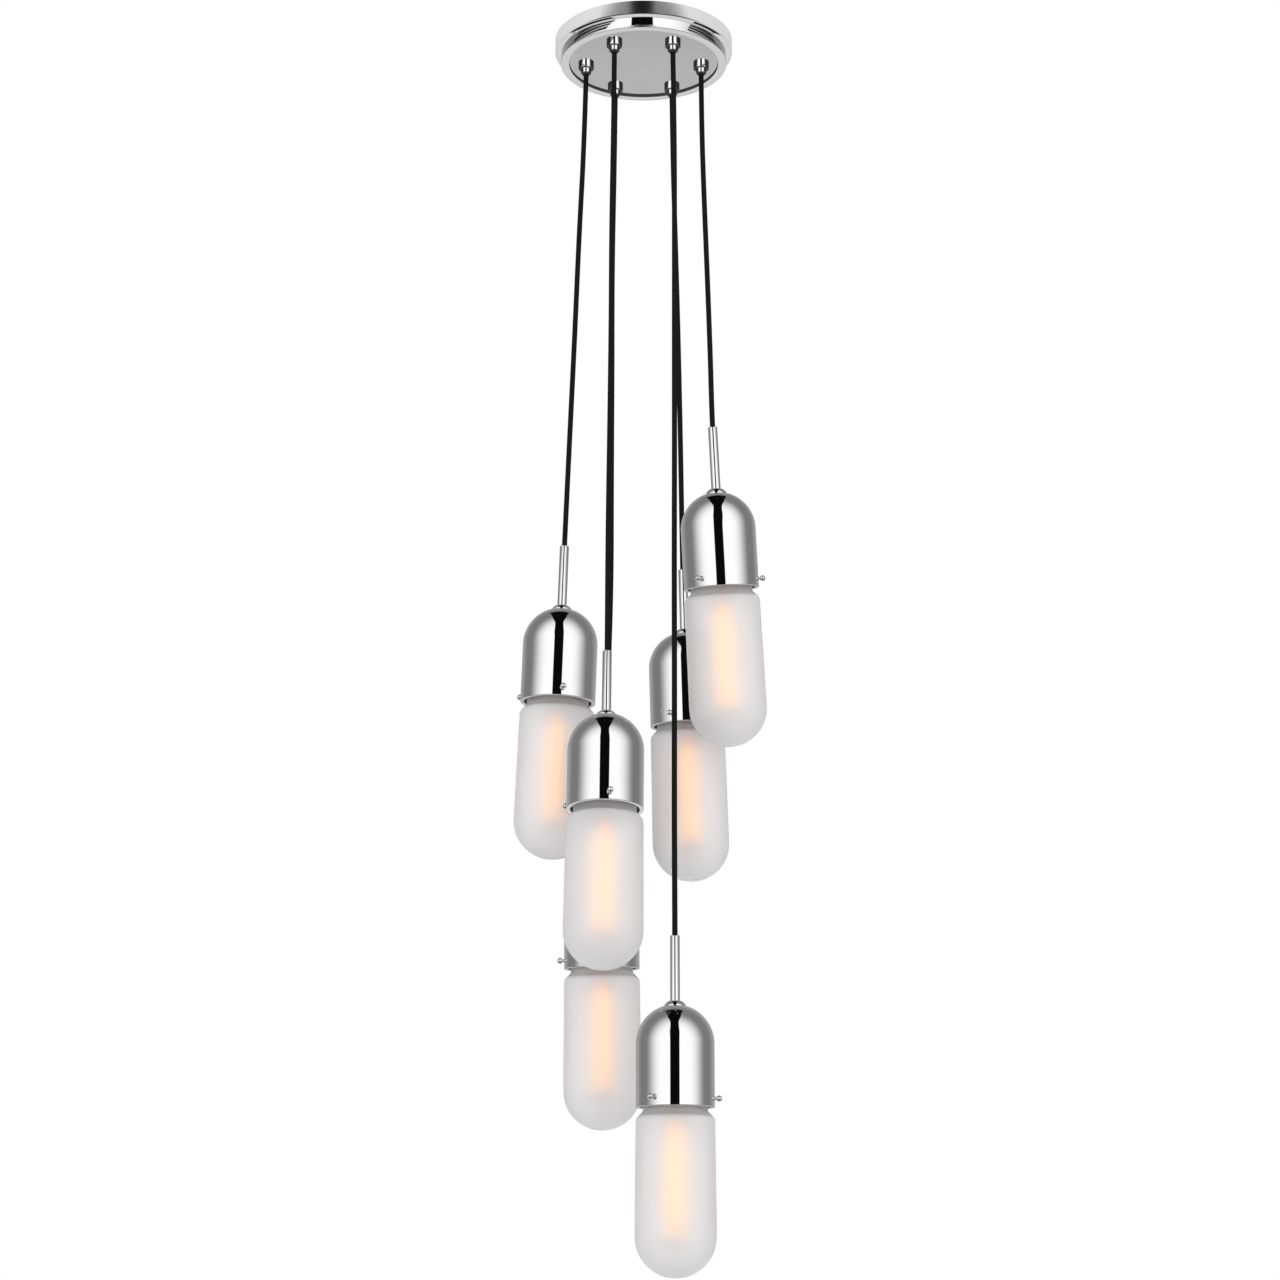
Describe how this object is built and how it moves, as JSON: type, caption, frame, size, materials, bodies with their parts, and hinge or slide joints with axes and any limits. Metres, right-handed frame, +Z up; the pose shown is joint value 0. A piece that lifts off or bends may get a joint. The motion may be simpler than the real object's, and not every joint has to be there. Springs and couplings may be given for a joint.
{
  "type": "cluster pendant light",
  "caption": "Cluster pendant: a round stepped canopy with textile cords at staggered drops, each with a polished bell dome and a capsule of frosted glass.",
  "frame": {"origin": "centre of the canopy at the ceiling, which is also the middle of the two fixing slots", "axes": "+Z up to the ceiling, the viewer of the picture stands at -Y and sees +X on the right"},
  "size_m": [0.2683, 0.2248, 1.3746],
  "materials": {
    "polished_nickel": "polished",
    "satin_nickel": "satin",
    "zinc_steel": "zinc plated",
    "steel_screw": "polished",
    "green_screw": "gloss",
    "black_rubber": "matte",
    "black_textile": "woven",
    "frosted_glass": "frosted",
    "white_ceramic": "glazed white, as the ceramic of a lamp socket",
    "lamp_glass": "opal"
  },
  "bodies": {
    "canopy": {"canopy_pan": "polished_nickel", "canopy_plate": "satin_nickel", "ceiling_bracket": "zinc_steel", "ground_screw": "green_screw", "canopy_screws": "steel_screw", "plate_screws": "steel_screw", "cord_grips": "polished_nickel", "grip_bushings": "black_rubber", "grip_nuts": "zinc_steel", "cord_tails": "black_textile"},
    "cord_1_hanging": {"cord_1": "black_textile"},
    "light_1": {"stem_1": "polished_nickel", "collar_1": "polished_nickel", "dome_1": "polished_nickel", "thumb_screws_1": "polished_nickel", "shade_1": "frosted_glass", "socket_1": "white_ceramic"},
    "bulb_1": {"lamp_1": "lamp_glass"},
    "cord_2_hanging": {"cord_2": "black_textile"},
    "light_2": {"stem_2": "polished_nickel", "collar_2": "polished_nickel", "dome_2": "polished_nickel", "thumb_screws_2": "polished_nickel", "shade_2": "frosted_glass", "socket_2": "white_ceramic"},
    "bulb_2": {"lamp_2": "lamp_glass"},
    "cord_3_hanging": {"cord_3": "black_textile"},
    "light_3": {"stem_3": "polished_nickel", "collar_3": "polished_nickel", "dome_3": "polished_nickel", "thumb_screws_3": "polished_nickel", "shade_3": "frosted_glass", "socket_3": "white_ceramic"},
    "bulb_3": {"lamp_3": "lamp_glass"},
    "cord_4_hanging": {"cord_4": "black_textile"},
    "light_4": {"stem_4": "polished_nickel", "collar_4": "polished_nickel", "dome_4": "polished_nickel", "thumb_screws_4": "polished_nickel", "shade_4": "frosted_glass", "socket_4": "white_ceramic"},
    "bulb_4": {"lamp_4": "lamp_glass"},
    "cord_5_hanging": {"cord_5": "black_textile"},
    "light_5": {"stem_5": "polished_nickel", "collar_5": "polished_nickel", "dome_5": "polished_nickel", "thumb_screws_5": "polished_nickel", "shade_5": "frosted_glass", "socket_5": "white_ceramic"},
    "bulb_5": {"lamp_5": "lamp_glass"},
    "cord_6_hanging": {"cord_6": "black_textile"},
    "light_6": {"stem_6": "polished_nickel", "collar_6": "polished_nickel", "dome_6": "polished_nickel", "thumb_screws_6": "polished_nickel", "shade_6": "frosted_glass", "socket_6": "white_ceramic"},
    "bulb_6": {"lamp_6": "lamp_glass"}
  },
  "joints": [
    {"name": "swing_1", "type": "hinge", "parent": "canopy", "child": "cord_1_hanging", "pos_m": [0.065, 0, -0.0416], "axis": [-0.8434, -0.5373, 0], "range_deg": [0, 15]},
    {"name": "twist_1", "type": "hinge", "parent": "cord_1_hanging", "child": "light_1", "pos_m": [0.0737, -0.063, -0.4829], "axis": [-0.0521, -0.1703, 0.984], "range_deg": [-90, 90]},
    {"name": "lamp_turn_1", "type": "hinge", "parent": "light_1", "child": "bulb_1", "pos_m": [0.08039, -0.04111, -0.60935], "axis": [-0.0521, -0.1703, 0.984], "continuous": true},
    {"name": "swing_2", "type": "hinge", "parent": "canopy", "child": "cord_2_hanging", "pos_m": [-0.065, 0, -0.0416], "axis": [0.7431, 0.6691, 0], "range_deg": [0, 15]},
    {"name": "twist_2", "type": "hinge", "parent": "cord_2_hanging", "child": "light_2", "pos_m": [-0.0858, -0.0004, -0.5972], "axis": [0.0349, -0.0052, 0.9994], "range_deg": [-90, 90]},
    {"name": "lamp_turn_2", "type": "hinge", "parent": "light_2", "child": "bulb_2", "pos_m": [-0.09029, 0.00027, -0.72562], "axis": [0.0349, -0.0052, 0.9994], "continuous": true},
    {"name": "swing_3", "type": "hinge", "parent": "canopy", "child": "cord_3_hanging", "pos_m": [-0.0325, -0.05629, -0.0416], "axis": [-0.9397, 0.342, 0], "range_deg": [0, 15]},
    {"name": "twist_3", "type": "hinge", "parent": "cord_3_hanging", "child": "light_3", "pos_m": [-0.0386, -0.0495, -0.7274], "axis": [0.0099, 0.0896, 0.9959], "range_deg": [-10, 65]},
    {"name": "lamp_turn_3", "type": "hinge", "parent": "light_3", "child": "bulb_3", "pos_m": [-0.03987, -0.06101, -0.85538], "axis": [0.0099, 0.0896, 0.9959], "continuous": true},
    {"name": "swing_4", "type": "hinge", "parent": "canopy", "child": "cord_4_hanging", "pos_m": [0.0325, 0.05629, -0.0416], "axis": [0.988, 0.1547, 0], "range_deg": [0, 15]},
    {"name": "twist_4", "type": "hinge", "parent": "cord_4_hanging", "child": "light_4", "pos_m": [0.0427, 0.0489, -0.6095], "axis": [-0.0261, -0.0558, 0.9981], "range_deg": [-38, 32]},
    {"name": "lamp_turn_4", "type": "hinge", "parent": "light_4", "child": "bulb_4", "pos_m": [0.04606, 0.05607, -0.73776], "axis": [-0.0261, -0.0558, 0.9981], "continuous": true},
    {"name": "swing_5", "type": "hinge", "parent": "canopy", "child": "cord_5_hanging", "pos_m": [-0.0325, 0.05629, -0.0416], "axis": [0.9781, 0.2079, 0], "range_deg": [-1, 15]},
    {"name": "twist_5", "type": "hinge", "parent": "cord_5_hanging", "child": "light_5", "pos_m": [-0.0458, 0.0415, -0.8748], "axis": [-0.007, -0.0698, 0.9975], "range_deg": [-90, 90]},
    {"name": "lamp_turn_5", "type": "hinge", "parent": "light_5", "child": "bulb_5", "pos_m": [-0.04491, 0.05046, -1.00298], "axis": [-0.007, -0.0698, 0.9975], "continuous": true},
    {"name": "swing_6", "type": "hinge", "parent": "canopy", "child": "cord_6_hanging", "pos_m": [0.0325, -0.05629, -0.0416], "axis": [-0.9397, -0.342, 0], "range_deg": [-1, 15]},
    {"name": "twist_6", "type": "hinge", "parent": "cord_6_hanging", "child": "light_6", "pos_m": [0.0317, -0.0621, -1.0315], "axis": [0, -0.0332, 0.9995], "range_deg": [-90, 90]},
    {"name": "lamp_turn_6", "type": "hinge", "parent": "light_6", "child": "bulb_6", "pos_m": [0.0317, -0.05784, -1.15993], "axis": [0, -0.0332, 0.9995], "continuous": true}
  ]
}
